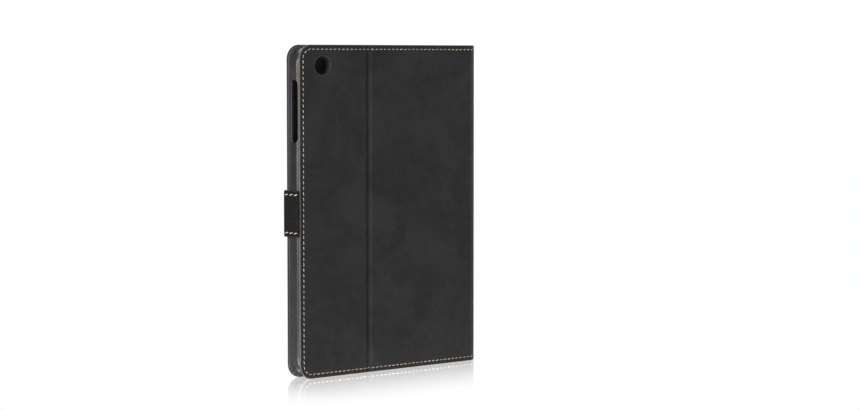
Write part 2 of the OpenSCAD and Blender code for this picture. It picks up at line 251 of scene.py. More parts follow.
class Sheet:
    """Faces over welded points. A point is distance along a line, height, depth, and nearness to an edge."""

    def __init__(self):
        self.index = {}
        self.points = []
        self.faces = []

    def point(self, s, z, depth, edge):
        key = (round(s, 3), round(z, 3), round(depth, 3))
        if key not in self.index:
            self.index[key] = len(self.points)
            self.points.append((s, z, depth, edge))
        return self.index[key]

    def face(self, corners):
        loop = []
        for corner in corners:
            if corner not in loop:
                loop.append(corner)
        if len(loop) > 2:
            self.faces.append(loop)

    def grid(self, rows):
        """Quads over a list of rows, each a list of points."""
        ids = [[self.point(*p) for p in row] for row in rows]
        for low, high in zip(ids, ids[1:]):
            for i in range(len(low) - 1):
                self.face([low[i], low[i + 1], high[i + 1], high[i]])

    def fan(self, centre, rim):
        middle = self.point(*centre)
        ids = [self.point(*p) for p in rim]
        for a, b in zip(ids, ids[1:]):
            self.face([middle, a, b])

    def loop(self, points):
        self.face([self.point(*p) for p in points])


def nearness(d, depth):
    """1 at the very edge of a leather piece, falling off on both of its faces."""
    fall, inner_side = 1.6, 0.3
    return math.exp(-(d / fall) ** 2) if depth < TURN_T + 0.01 else inner_side


def arc(centre_a, centre_z, radius, start, stop, steps=10):
    angles = [math.radians(start + (stop - start) * i / steps) for i in range(steps + 1)]
    return [(centre_a + radius * math.cos(t), centre_z + radius * math.sin(t)) for t in angles]


def spread(low, high, step):
    """Evenly spaced values from low to high, no further apart than step."""
    return [float(v) for v in np.linspace(low, high, max(1, math.ceil((high - low) / step - 1e-6)) + 1)]


def spaced(low, high, fine, coarse=8.0):
    """Values from low to high: coarse steps, and fine ones in each (centre, half width, step) of fine."""
    marks = {round(low, 4), round(high, 4)}
    for centre, half, step in fine:
        for v in spread(centre - half, centre + half, step):
            if low + 0.05 < v < high - 0.05:
                marks.add(round(v, 4))
    marks = sorted(marks)
    values = [marks[0]]
    for a, b in zip(marks, marks[1:]):
        values += spread(a, b, coarse)[1:]
    return values


def shell(line, s_cut, direction, ends, z0, height, radius, profile, relief, inner_shift, fine):
    """Closed shell over a piece of a line, from s_cut to the distance ends in that direction. With a radius
    it finishes in two rounded corners there; without one it is cut square at both ends."""
    sheet = Sheet()
    inset = profile[0][0]
    thick = max(depth for _, depth in profile)
    flat = ends - radius
    low, high = sorted((s_cut, s_cut + direction * flat))
    cols = [abs(s - s_cut) for s in spaced(low, high, fine)]
    cols.sort()
    middle_rows = spread(radius or inset, height - (radius or inset), 9.0)
    if height - 2 * radius < 0.1 and radius:
        middle_rows = [height / 2]
    rows = sorted({round(v, 4) for v in [inset, *middle_rows, height - inset]})

    def p(a, z, d, depth):
        s = s_cut + direction * a
        press = float(relief(s))
        if depth is profile[-1][1] and inner_shift:
            out = depth + inner_shift * press
        else:
            out = press + depth * (1 - press / thick) if press else depth
        return s, z0 + z, out, nearness(d, depth)

    def ring(d, depth):
        """Points at one distance from the edge: along the bottom from the cut, and back along the top."""
        bottom = [(a, d) for a in cols]
        top = [(a, height - d) for a in reversed(cols)]
        if not radius:
            return [[p(a, z, d, depth) for a, z in part] for part in (bottom, top)]
        turn = arc(flat, radius, radius - d, -90, 0)
        turn += [(ends - d, z) for z in middle_rows[1:-1]]
        turn += arc(flat, height - radius, radius - d, 0, 90)
        return [[p(a, z, d, depth) for a, z in bottom + turn[1:] + top[1:]]]

    rings = [ring(d, depth) for d, depth in profile]
    for part in range(len(rings[0])):
        sheet.grid([r[part] for r in rings])
    for d, depth in (profile[0], profile[-1]):
        sheet.grid([[p(a, z, d, depth) for a in cols] for z in rows])
        if radius:
            if len(middle_rows) > 1:
                sheet.grid([[p(a, z, d, depth) for a in (flat, ends - inset)] for z in middle_rows])
            for z, start in ((radius, -90), (height - radius, 0)):
                rim = arc(flat, z, radius - inset, start, start + 90)
                sheet.fan(p(flat, z, d, depth), [p(*q, d, depth) for q in rim])
    for a in (cols[0],) if radius else (cols[0], cols[-1]):
        cap = [p(a, d, d, depth) for d, depth in profile]
        cap += [p(a, z, inset, profile[-1][1]) for z in rows[1:-1]]
        cap += [p(a, height - d, d, depth) for d, depth in reversed(profile)]
        cap += [p(a, z, inset, profile[0][1]) for z in reversed(rows[1:-1])]
        sheet.loop(cap)
    return sheet, line


def finish_mesh(obj, smooth_angle):
    mesh = obj.data
    bm = bmesh.new()
    bm.from_mesh(mesh)
    bmesh.ops.remove_doubles(bm, verts=bm.verts, dist=2e-6)
    bmesh.ops.recalc_face_normals(bm, faces=bm.faces)
    bm.to_mesh(mesh)
    bm.free()
    mesh.shade_smooth()
    mesh.set_sharp_from_angle(angle=math.radians(smooth_angle))


def new_object(name, points, faces, smooth_angle=50, edge=None, rest=None):
    """Mesh object from points in metres. rest gives each point a place on its flat cut, in millimetres."""
    mesh = bpy.data.meshes.new(name)
    mesh.from_pydata([tuple(p) for p in points], [], faces)
    if edge is not None:
        layer = mesh.attributes.new("edge", "FLOAT", "POINT")
        layer.data.foreach_set("value", np.asarray(edge, np.float32))
    if rest is not None:
        uv = mesh.uv_layers.new(name="Rest")
        for loop in mesh.loops:
            uv.data[loop.index].uv = rest[loop.vertex_index]
    obj = bpy.data.objects.new(name, mesh)
    bpy.context.scene.collection.objects.link(obj)
    finish_mesh(obj, smooth_angle)
    return obj


def shell_object(name, sheet_and_line, smooth_angle=42):
    sheet, line = sheet_and_line
    data = np.array(sheet.points)
    points = line.place(data[:, 0], data[:, 1], data[:, 2])
    rest = [(s + depth, z) for s, z, depth, _ in sheet.points]
    return new_object(name, points, sheet.faces, smooth_angle, data[:, 3], rest)


def cut(obj, cutter):
    """Takes the cutter out of a mesh, then removes the cutter."""
    modifier = obj.modifiers.new("cut", "BOOLEAN")
    modifier.object = cutter
    modifier.operation = "DIFFERENCE"
    modifier.solver = "EXACT"
    bpy.context.view_layer.update()
    evaluated = obj.evaluated_get(bpy.context.evaluated_depsgraph_get())
    mesh = bpy.data.meshes.new_from_object(evaluated)
    obj.modifiers.remove(modifier)
    old = obj.data
    obj.data = mesh
    bpy.data.meshes.remove(old)
    bpy.data.objects.remove(cutter)
    mesh.shade_smooth()
    mesh.set_sharp_from_angle(angle=math.radians(42))


def loft(name, rings, closed_ends=True, smooth_angle=50, edge=None):
    """Skin over rings that all have the same number of points, in millimetres."""
    count = len(rings[0])
    points = [np.array(q) * MM for ring_points in rings for q in ring_points]
    faces = []
    for r in range(len(rings) - 1):
        for i in range(count):
            j = (i + 1) % count
            faces.append([r * count + i, r * count + j, (r + 1) * count + j, (r + 1) * count + i])
    if closed_ends:
        faces.append(list(range(count)))
        faces.append(list(range((len(rings) - 1) * count, len(rings) * count)))
    else:
        last = (len(rings) - 1) * count
        for i in range(count):
            j = (i + 1) % count
            faces.append([last + i, last + j, j, i])
    values = None if edge is None else [v for v in edge for _ in range(count)]
    return new_object(name, points, faces, smooth_angle, values)


# ---------------------------------------------------------------- stitches

THREAD_RINGS, THREAD_SIDES = 9, 10
THREAD_FLATNESS = 0.62
THREAD_PLY, THREAD_TWIST, THREAD_TWIST_STEP = 0.17, 2.3, 2.4
END_TAPER, END_DIP = 0.42, 0.16


def thread_stitch(place, stitch, surface, inward):
    """One stitch of two-ply thread, as rings of points. A place gives its direction on the flat cut."""
    s, z, angle, number = place
    length, width, lift, lean = stitch
    angle = angle + math.radians(lean)
    ca, sa = math.cos(angle), math.sin(angle)
    rings = []
    for i in range(THREAD_RINGS):
        t = -1 + 2 * i / (THREAD_RINGS - 1)
        rise = lift * math.sqrt(max(0.0, 1 - t * t)) - END_DIP * abs(t) ** 3
        thick = width / 2 * (1 - END_TAPER * abs(t) ** 3)
        row = []
        for k in range(THREAD_SIDES):
            q = 2 * math.pi * k / THREAD_SIDES
            r = thick * (1 + THREAD_PLY * math.cos(2 * (q - number * THREAD_TWIST_STEP - THREAD_TWIST * t)))
            side, up = r * math.cos(q), THREAD_FLATNESS * r * math.sin(q) + rise
            a = s + ca * t * length / 2 - sa * side
            b = z + sa * t * length / 2 + ca * side
            row.append((a, b, surface(a) + up if inward else surface(a) - up))
        rings.append(row)
    return rings


def stitches_object(name, line, places, stitch, surface, inward=False):
    """All the stitches of one run, as one object of closed tubes."""
    points, faces = [], []
    for place in places:
        rings = thread_stitch(place, stitch, surface, inward)
        base = len(points)
        count = THREAD_SIDES
        for row in rings:
            points += row
        for r in range(THREAD_RINGS - 1):
            for k in range(count):
                n = (k + 1) % count
                faces.append([base + r * count + k, base + r * count + n,
                              base + (r + 1) * count + n, base + (r + 1) * count + k])
        faces.append([base + k for k in range(count)])
        faces.append([base + (THREAD_RINGS - 1) * count + k for k in range(count)])
    data = np.array(points)
    placed = line.place(data[:, 0], data[:, 1], data[:, 2])
    rest = [(a, b) for a, b, _ in points]
    return new_object(name, placed, faces, 70, None, rest)


def round_row(flat_length, height, radius, inset, pitch_wanted):
    """Stitch places along a piece's bottom edge, round its two corners and back along its top. Each is
    distance from the fold at the piece's flat end, height, direction and number."""
    turn = math.pi / 2 * (radius - inset)
    side = height - 2 * radius
    total = 2 * flat_length + 2 * turn + side
    count = round(total / pitch_wanted)
    places = []
    for i in range(count):
        t = (i + 0.5) * total / count
        if t < flat_length:
            places.append((t, inset, 0.0, i))
            continue
        t -= flat_length
        if t < turn:
            q = -math.pi / 2 + t / (radius - inset)
            places.append((flat_length + (radius - inset) * math.cos(q),
                           radius + (radius - inset) * math.sin(q), q + math.pi / 2, i))
            continue
        t -= turn
        if t < side:
            places.append((flat_length + radius - inset, radius + t, math.pi / 2, i))
            continue
        t -= side
        if t < turn:
            q = t / (radius - inset)
            places.append((flat_length + (radius - inset) * math.cos(q),
                           height - radius + (radius - inset) * math.sin(q), q + math.pi / 2, i))
            continue
        t -= turn
        places.append((flat_length - t, height - inset, math.pi, i))
    return places


# ---------------------------------------------------------------- materials

class Nodes:
    """A material and short calls that add nodes to it."""

    def __init__(self, name, base, roughness, from_uv=False):
        self.material = bpy.data.materials.new(name)
        self.material.use_nodes = True
        self.tree = self.material.node_tree
        self.shader = self.tree.nodes["Principled BSDF"]
        self.shader.inputs["Base Color"].default_value = (*base, 1)
        self.shader.inputs["Roughness"].default_value = roughness
        self.material.diffuse_color = (*base, 1)
        coordinates = self.tree.nodes.new("ShaderNodeTexCoord")
        scale = self.tree.nodes.new("ShaderNodeVectorMath")
        scale.operation = "SCALE"
        if from_uv:
            uv = self.tree.nodes.new("ShaderNodeUVMap")
            uv.uv_map = "Rest"
            self.link(uv.outputs["UV"], scale.inputs[0])
            scale.inputs["Scale"].default_value = 1.0
        else:
            self.link(coordinates.outputs["Object"], scale.inputs[0])
            scale.inputs["Scale"].default_value = 1 / MM
        self.mm = scale.outputs["Vector"]

    def link(self, out, into):
        self.tree.links.new(out, into)

    def noise(self, per_mm, detail=3.0, rough=0.55, distortion=0.0, vector=None):
        node = self.tree.nodes.new("ShaderNodeTexNoise")
        node.inputs["Scale"].default_value = per_mm
        node.inputs["Detail"].default_value = detail
        node.inputs["Roughness"].default_value = rough
        node.inputs["Distortion"].default_value = distortion
        self.link(vector or self.mm, node.inputs["Vector"])
        return node.outputs["Fac"]

    def cells(self, per_mm, feature="DISTANCE_TO_EDGE", vector=None):
        node = self.tree.nodes.new("ShaderNodeTexVoronoi")
        node.feature = feature
        node.inputs["Scale"].default_value = per_mm
        self.link(vector or self.mm, node.inputs["Vector"])
        return node.outputs["Distance"]

    def stretched(self, x, y, z):
        node = self.tree.nodes.new("ShaderNodeVectorMath")
        node.operation = "MULTIPLY"
        node.inputs[1].default_value = (x, y, z)
        self.link(self.mm, node.inputs[0])
        return node.outputs["Vector"]

    def attribute(self, name):
        node = self.tree.nodes.new("ShaderNodeAttribute")
        node.attribute_name = name
        return node.outputs["Fac"]

    def math(self, kind, a, b):
        node = self.tree.nodes.new("ShaderNodeMath")
        node.operation = kind
        node.use_clamp = kind != "SUBTRACT"
        for socket, value in zip(node.inputs, (a, b)):
            if isinstance(value, (int, float)):
                socket.default_value = value
            else:
                self.link(value, socket)
        return node.outputs[0]

    def ramp(self, value, low, high, to_low=0.0, to_high=1.0):
        node = self.tree.nodes.new("ShaderNodeMapRange")
        node.interpolation_type = "SMOOTHSTEP"
        for name, number in (("From Min", low), ("From Max", high), ("To Min", to_low), ("To Max", to_high)):
            node.inputs[name].default_value = number
        self.link(value, node.inputs["Value"])
        return node.outputs["Result"]

    def colour(self, factor, first, second):
        node = self.tree.nodes.new("ShaderNodeMix")
        node.data_type = "RGBA"
        self.link(factor, node.inputs["Factor"])
        for name, value in (("A", first), ("B", second)):
            socket = [i for i in node.inputs if i.name == name and i.type == "RGBA"][0]
            if isinstance(value, tuple):
                socket.default_value = (*value, 1)
            else:
                self.link(value, socket)
        return [o for o in node.outputs if o.type == "RGBA"][0]

    def bumps(self, *layers):
        """Stacks bump layers, each (height, strength, millimetres)."""
        normal = None
        for height, strength, size in layers:
            node = self.tree.nodes.new("ShaderNodeBump")
            node.inputs["Strength"].default_value = strength
            node.inputs["Distance"].default_value = size * MM
            self.link(height, node.inputs["Height"])
            if normal is not None:
                self.link(normal, node.inputs["Normal"])
            normal = node.outputs["Normal"]
        self.link(normal, self.shader.inputs["Normal"])

    def set(self, **values):
        for name, value in values.items():
            self.shader.inputs[name.replace("_", " ")].default_value = value


def leather_material(name="nubuck_leather", from_uv=True, tone=1.0, edge_wear_and_highlight=1.0, shine=0.2):
    """Near-black leather. tone scales its colour, edge_wear_and_highlight says how pale its edges are, partly
    from rubbed wear and partly as a painted highlight where an edge catches the light, and shine is its
    specular level."""

    def shade(*rgb):
        return tuple(tone * v for v in rgb)

    m = Nodes(name, shade(0.012, 0.012, 0.0125), 0.62, from_uv)
    mottle = m.ramp(m.noise(0.030, 4.0, 0.6, 0.8), 0.34, 0.68)
    cloud = m.ramp(m.noise(0.16, 3.0, 0.6), 0.3, 0.75)
    base = m.colour(mottle, shade(0.0078, 0.0079, 0.0084), shade(0.0158, 0.0158, 0.0162))
    base = m.colour(m.math("MULTIPLY", cloud, 0.35), base, shade(0.0200, 0.0198, 0.0196))
    if from_uv:
        border = m.ramp(m.attribute("edge"), 0.05, 0.40)
        rub = m.ramp(m.noise(0.55, 3.0, 0.7), 0.40, 0.75)
        base = m.colour(m.math("MULTIPLY", border, 0.85), base, shade(0.0130, 0.0092, 0.0074))
        # Pale edge line: partly rubbed wear, partly a painted highlight where an edge catches the light.
        pale_edge_wear_and_highlight = m.ramp(m.attribute("edge"), 0.88, 1.0)
        paleness = m.math("ADD", m.math("MULTIPLY", rub, 0.3 * edge_wear_and_highlight), 0.5 * edge_wear_and_highlight)
        base = m.colour(m.math("MULTIPLY", pale_edge_wear_and_highlight, paleness), base, (0.105, 0.102, 0.098))
    m.link(base, m.shader.inputs["Base Color"])
    grain = m.cells(1.15)
    fine = m.noise(2.4, 4.0, 0.6)
    soft = m.noise(0.35, 3.0, 0.5)
    m.bumps((soft, 0.25, 0.25), (m.ramp(grain, 0.0, 0.22), 0.30, 0.06), (fine, 0.35, 0.05))
    m.link(m.ramp(m.noise(0.25, 4.0, 0.6), 0.3, 0.7, 0.56, 0.70), m.shader.inputs["Roughness"])
    m.set(Specular_IOR_Level=shine, Sheen_Weight=0.02, Sheen_Roughness=0.5)
    return m.material


def lining_material(name="microfibre_lining", from_uv=True):
    m = Nodes(name, (0.060, 0.058, 0.056), 0.9, from_uv)
    nap = m.noise(3.2, 5.0, 0.7)
    brushed = m.noise(0.05, 3.0, 0.55, 0.3)
    base = m.colour(m.ramp(brushed, 0.35, 0.68), (0.046, 0.045, 0.044), (0.057, 0.0555, 0.054))
    base = m.colour(m.math("MULTIPLY", m.ramp(nap, 0.45, 0.75), 0.35), base, (0.085, 0.082, 0.079))
    m.link(base, m.shader.inputs["Base Color"])
    m.bumps((nap, 0.5, 0.08), (m.noise(0.9, 3.0), 0.2, 0.10))
    m.link(m.ramp(brushed, 0.3, 0.7, 0.82, 0.96), m.shader.inputs["Roughness"])
    m.set(Specular_IOR_Level=0.15, Sheen_Weight=0.25, Sheen_Roughness=0.4)
    return m.material


def thread_material(name, darker, lighter, fluff):
    m = Nodes(name, darker, 0.6, True)
    tone = m.ramp(m.noise(0.11, 2.0), 0.35, 0.65)
    base = m.colour(tone, darker, lighter)
    fibre = m.noise(6.0, 4.0, 0.7)
    base = m.colour(m.math("MULTIPLY", m.ramp(fibre, 0.4, 0.7), 0.45), base, fluff)
    m.link(base, m.shader.inputs["Base Color"])
    m.bumps((fibre, 0.5, 0.06),)
    m.link(m.ramp(fibre, 0.3, 0.7, 0.45, 0.7), m.shader.inputs["Roughness"])
    m.set(Specular_IOR_Level=0.35, Sheen_Weight=0.15)
    return m.material


def tpu_material():
    m = Nodes("smoke_tpu", (0.030, 0.030, 0.032), 0.2)
    haze = m.noise(0.06, 4.0, 0.6)
    base = m.colour(m.ramp(haze, 0.35, 0.65), (0.007, 0.007, 0.0078), (0.0115, 0.0115, 0.0125))
    m.link(base, m.shader.inputs["Base Color"])
    scuff = m.noise(1.4, 4.0, 0.7, 0.4, m.stretched(1, 1, 0.12))
    m.link(m.ramp(scuff, 0.35, 0.75, 0.34, 0.44), m.shader.inputs["Roughness"])
    m.bumps((m.noise(0.10, 2.0), 0.08, 0.3), (scuff, 0.05, 0.02))
    m.set(Specular_IOR_Level=0.3)
    return m.material


def board_material():
    m = Nodes("fibre_board", (0.20, 0.17, 0.13), 0.9)
    fibre = m.noise(0.9, 5.0, 0.7, 0.6, m.stretched(1, 1, 0.25))
    base = m.colour(m.ramp(fibre, 0.3, 0.7), (0.15, 0.125, 0.095), (0.27, 0.23, 0.18))
    m.link(base, m.shader.inputs["Base Color"])
    m.bumps((fibre, 0.4, 0.08),)
    return m.material


def adhesive_material():
    m = Nodes("adhesive_sheet", (0.55, 0.54, 0.48), 0.3)
    cloud = m.noise(0.1, 3.0)
    base = m.colour(m.ramp(cloud, 0.3, 0.7), (0.48, 0.47, 0.42), (0.60, 0.59, 0.54))
    m.link(base, m.shader.inputs["Base Color"])
    m.link(m.ramp(m.noise(0.7), 0.3, 0.7, 0.2, 0.45), m.shader.inputs["Roughness"])
    return m.material


def steel_material():
    m = Nodes("plated_steel", (0.5, 0.51, 0.53), 0.35)
    brushed = m.noise(2.0, 4.0, 0.6, 0.0, m.stretched(0.1, 1, 1))
    base = m.colour(m.ramp(brushed, 0.3, 0.7), (0.42, 0.43, 0.45), (0.60, 0.61, 0.63))
    m.link(base, m.shader.inputs["Base Color"])
    m.link(m.ramp(brushed, 0.3, 0.7, 0.25, 0.45), m.shader.inputs["Roughness"])
    m.set(Metallic=1.0)
    return m.material


def paint(obj, material):
    obj.data.materials.clear()
    obj.data.materials.append(material)


LEATHER = leather_material()
# Copy of the leather for the front cover with almost no pale edge: painted shade on the front cover's edge.
# Its shine is also lower.
FRONT_LEATHER_SHADED_EDGE = leather_material("nubuck_leather_front_shaded_edge", edge_wear_and_highlight=0.1, shine=0.12)
# Window rim's leather: half the covers' colour, with a stronger pale edge on the bead, a painted highlight
# where the bevel catches the light.
RIM_LEATHER = leather_material("pressed_rim_leather_painted_highlight", tone=0.5, edge_wear_and_highlight=1.2)
# Strap's leather at a small part of the covers' colour and with a weaker pale edge: partly a darker leather,
# partly painted shade on the strap's side, which faces the key lamp.
DARKER_AND_SHADED_STRAP_LEATHER = leather_material("smooth_strap_leather_painted_shade", tone=0.15, edge_wear_and_highlight=0.2, shine=0.1)
LINING = lining_material()
THREAD = thread_material("twisted_thread", (0.225, 0.155, 0.108), (0.39, 0.325, 0.255), (0.46, 0.39, 0.31))
DARK_THREAD = thread_material(
    "bobbin_thread", (0.014, 0.014, 0.014), (0.024, 0.023, 0.022), (0.04, 0.039, 0.038))
TPU = tpu_material()
PLAIN_LEATHER = leather_material("nubuck_leather_inside", False)
PLAIN_LINING = lining_material("microfibre_ridge", False)
BOARD = board_material()
ADHESIVE = adhesive_material()
STEEL = steel_material()


def dress(obj, material, nodes, body=None, bend=None):
    """Gives a piece its material and hides the CAD nodes that it stands for. Without a bend it is attached to
    the body that it moves with; with one it is only fixed where it stands, and the bend's bodies and points
    are not used.
    """
    paint(obj, material)
    if nodes:
        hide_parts(*nodes)
    if bend:
        a, b, start, end = bend
        [v * MM for v in start]
        [v * MM for v in end]
        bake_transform(obj)
    else:
        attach(obj, body)
    return obj


# ---------------------------------------------------------------- covers and spine

FOLD_STEPS = [
    (S_CREASE, CREASE_HALF + 0.6, 0.3),
    (FLAT_L + WIDE_L / 2, WIDE_L / 2 + 0.5, 0.7),
    (FLAT_L + WIDE_L + TIGHT_L / 2, TIGHT_L / 2 + 0.3, 0.22),
    (S_END - FLAT_L - WIDE_L / 2, WIDE_L / 2 + 0.5, 0.7),
    (S_END - FLAT_L - WIDE_L - TIGHT_L / 2, TIGHT_L / 2 + 0.3, 0.22),
    (S_GROOVE, GROOVE_HALF + 0.5, 0.25)]

BEND_Z = HEIGHT / 2
BEND_ON_COVER, BEND_ON_SPINE = 4.6, 4.4
CREASE_BEND = ("tray", "wide_back", (CREASE_X + CREASE_HALF, CREASE_Y, BEND_Z),
               (CREASE_X - CREASE_HALF, CREASE_Y, BEND_Z))
BACK_AXIS = hinge_mm("cover_open")
FRONT_AXIS = hinge_mm("cover_turn")
OPEN_BEND = ("wide_back", "spine", (BACK_AXIS[0] + BEND_ON_COVER, Y_BACK, BEND_Z),
             (X_SPINE, BACK_AXIS[1] - BEND_ON_SPINE, BEND_Z))
TURN_BEND = ("spine", "front_cover", (X_SPINE, FRONT_AXIS[1] + BEND_ON_SPINE, BEND_Z),
             (FRONT_AXIS[0] + BEND_ON_COVER, Y_FRONT, BEND_Z))


def cover_shells(kind, profile, relief, inner_shift):
    """The three pieces of one layer: over the crease, over the back fold and over the front fold."""
    rest = (profile, relief, inner_shift, FOLD_STEPS)
    back = shell(COVER, S_CUT, -1, S_CUT, 0, HEIGHT, CORNER_R, *rest)
    spine = shell(COVER, S_CUT, 1, S_SPINE - S_CUT, 0, HEIGHT, 0, *rest)
    front = shell(COVER, S_SPINE, 1, S_END - S_SPINE, 0, HEIGHT, CORNER_R, *rest)
    return [shell_object(f"{part}_{kind}", made)
            for part, made in (("back_cover", back), ("wide_back_and_spine", spine), ("front_cover", front))]


def ellipse(half_w, half_h, x, y, z, steps=56):
    angles = [2 * math.pi * i / steps for i in range(steps)]
    return [(x + half_w * math.cos(t), y, z + half_h * math.sin(t)) for t in angles]


def window_cutter(grow):
    rings = [ellipse(WINDOW_HALF_W + grow, WINDOW_HALF_H + grow, WINDOW_X, y, WINDOW_Z)
             for y in (Y_BACK + 1, Y_BACK - 4)]
    return loft("cutter", rings)


def window_rim():
    """Leather pressed round the window: a low bead on the face, and a wall down to the tray."""
    section = [(1.25, 0.02), (1.05, -0.10), (0.75, -0.17), (0.45, -0.13), (0.2, 0.06), (0.05, 0.35), (0, 0.8),
               (0, 2.9), (0.35, 3.0), (0.8, 2.9), (0.85, 1.0), (1.0, 0.5)]
    rings = [ellipse(WINDOW_HALF_W + out, WINDOW_HALF_H + out, WINDOW_X, Y_BACK - depth, WINDOW_Z)
             for out, depth in section]
    # The bead's crest takes the pale edge line: a painted highlight on the bevel.
    edge = [0.0, 0.6, 1.0, 0.9, 0.0, 0.0, 0.0, 0.0, 0.0, 0.0, 0.0, 0.0]
    obj = loft("camera_window_rim", rings, closed_ends=False, edge=edge)
    uv = obj.data.uv_layers.new(name="Rest")
    for loop in obj.data.loops:
        x, y, z = obj.data.vertices[loop.vertex_index].co / MM
        uv.data[loop.index].uv = (X_FREE - x + Y_BACK - y, z)
    return obj


leather_back, leather_spine, leather_front = cover_shells("leather", LEATHER_PROFILE, cover_relief, 0.75)
lining_back, lining_spine, lining_front = cover_shells("lining", LINING_PROFILE, no_relief, 0)
cut(leather_back, window_cutter(LEATHER_CUT_OUT))
cut(lining_back, window_cutter(LINING_CUT_OUT))

dress(leather_back, LEATHER, ["narrow_back_leather"], bend=CREASE_BEND)
dress(leather_spine, LEATHER, ["wide_back_leather", "spine_leather"], bend=OPEN_BEND)
dress(leather_front, FRONT_LEATHER_SHADED_EDGE, ["front_leather"], bend=TURN_BEND)
dress(lining_back, LINING, ["narrow_back_lining"], bend=CREASE_BEND)
dress(lining_spine, LINING, ["wide_back_lining", "spine_lining"], bend=OPEN_BEND)
dress(lining_front, LINING, ["front_lining"], bend=TURN_BEND)
dress(window_rim(), RIM_LEATHER, [], body="tray")


def cover_stitches():
    """Rows round the back cover and the front cover that meet on the spine."""
    half = S_SPINE - CORNER_R
    row = round_row(half, HEIGHT, CORNER_R, STITCH_IN, STITCH_PITCH)
    back = [(S_SPINE - t, z, math.pi - angle, n) for t, z, angle, n in row]
    front = [(S_SPINE + t, z, angle, n) for t, z, angle, n in row]
    outer = lambda a: float(cover_relief(a)) + COVER_STITCH_DEPTH
    inner = lambda a: LINING_STITCH_DEPTH
    runs = [
        ("back_cover_stitching", [q for q in back if q[0] < S_CUT], ["narrow_back_stitching"], CREASE_BEND),
        ("wide_back_and_spine_stitching", [q for q in back if q[0] >= S_CUT],
         ["wide_back_stitching", "spine_stitching"], OPEN_BEND),
        ("front_cover_stitching", front, ["front_stitching"], TURN_BEND)]
    for name, places, nodes, bend in runs:
        obj = stitches_object(name, COVER, places, COVER_STITCH, outer)
        dress(obj, THREAD, nodes, bend=bend)
        obj = stitches_object(f"{name}_inner", COVER, places, LINING_STITCH, inner, inward=True)
        dress(obj, DARK_THREAD, [], bend=bend)


cover_stitches()


# ---------------------------------------------------------------- strap

STRAP_STEPS = [
    (U_BACK_FOLD + STRAP_FOLD_L / 2, STRAP_FOLD_L / 2 + 0.2, 0.22),
    (U_BACK_FOLD + STRAP_FOLD_L * 1.5 + STRAP_SIDE_L, STRAP_FOLD_L / 2 + 0.2, 0.22)]
STRAP_BACK_AXIS = hinge_mm("strap_open")
STRAP_FRONT_AXIS = hinge_mm("tab_open")
STRAP_MID_Z = (STRAP_Z0 + STRAP_Z1) / 2
BEND_FAR, BEND_NEAR = 1.1, 0.7
SIDE_BEND = ("tray", "strap_side",
             (STRAP_BACK_AXIS[0] - BEND_FAR, STRAP_BACK_AXIS[1] + BEND_NEAR, STRAP_MID_Z),
             (STRAP_BACK_AXIS[0] + BEND_NEAR, STRAP_BACK_AXIS[1] - BEND_FAR, STRAP_MID_Z))
TAB_BEND = ("strap_side", "strap_tab",
            (STRAP_FRONT_AXIS[0] + BEND_NEAR, STRAP_FRONT_AXIS[1] + BEND_FAR, STRAP_MID_Z),
            (STRAP_FRONT_AXIS[0] - BEND_FAR, STRAP_FRONT_AXIS[1] - BEND_NEAR, STRAP_MID_Z))


def strap_layer(kind, profile, material, side_nodes, tab_nodes):
    rest = (profile, no_relief, 0, STRAP_STEPS)
    side = shell(STRAP, 0, 1, U_CUT, STRAP_Z0, STRAP_W, 0, *rest)
    tab = shell(STRAP, U_CUT, 1, U_END - U_CUT, STRAP_Z0, STRAP_W, STRAP_W / 2, *rest)
    dress(shell_object(f"strap_side_{kind}", side), material, side_nodes, bend=SIDE_BEND)
    dress(shell_object(f"strap_tab_{kind}", tab), material, tab_nodes, bend=TAB_BEND)


def strap_stitches():
    surface = lambda a: STRAP_STITCH_DEPTH
    low, high = STRAP_STITCH_IN, STRAP_W - STRAP_STITCH_IN
    start = U_BACK_FOLD + STRAP_FOLD_L
    side_pitch, first_before_fold = 4.6, 1.9
    side = []
    for n in range(3):
        t = start - first_before_fold + (n + 0.5) * side_pitch
        side += [(t, STRAP_Z0 + low, 0.0, n), (t, STRAP_Z0 + high, 0.0, n + 5)]
    obj = stitches_object("strap_side_stitching_thread", STRAP, side, STRAP_SIDE_STITCH, surface)
    dress(obj, THREAD, ["strap_side_stitching"], bend=SIDE_BEND)
    tab_start = start + STRAP_SIDE_L + STRAP_FOLD_L
    tab_pitch = 3.5
    row = round_row(U_END - STRAP_W / 2 - tab_start, STRAP_W, STRAP_W / 2, STRAP_STITCH_IN, tab_pitch)
    places = [(tab_start + t, STRAP_Z0 + z, angle, n) for t, z, angle, n in row]
    obj = stitches_object("strap_tab_stitching_thread", STRAP, places, STRAP_TAB_STITCH, surface)
    dress(obj, THREAD, ["tab_stitching"], bend=TAB_BEND)


strap_layer("leather_outer", STRAP_PROFILE, DARKER_AND_SHADED_STRAP_LEATHER, ["strap_side_leather"], ["tab_leather"])
strap_layer("lining_inner", STRAP_LINING_PROFILE, LINING, ["strap_side_lining"], ["tab_lining"])
strap_stitches()


# ---------------------------------------------------------------- tray

TRAY_LOW, TRAY_HIGH = box_mm("tpu_tray")
TRAY_R = 11.0
WALL_T = 2.0
FLOOR_T = 0.8
LIP_T = 0.9
LIP_IN = 3.4
TRAY_BACK_R = 3.3
TRAY_FRONT_R = 1.5
BAY_BACK = TRAY_HIGH[1] - FLOOR_T
SLOT_W = 5.2
SLOT_Y = BAY_BACK - 0.4 - SLOT_W / 2
FLOOR_REACH = 8.0

# Slots in the tray's walls: length, and distance of the upper end or the middle from the tray's corner
BUTTON_L, BUTTON_TOP = 39.0, 19.9
PORT_L = 44.0
SOCKET_L, SOCKET_FROM_EDGE = 12.0, 19.0
POWER_L, POWER_FROM_EDGE = 18.0, 24.0


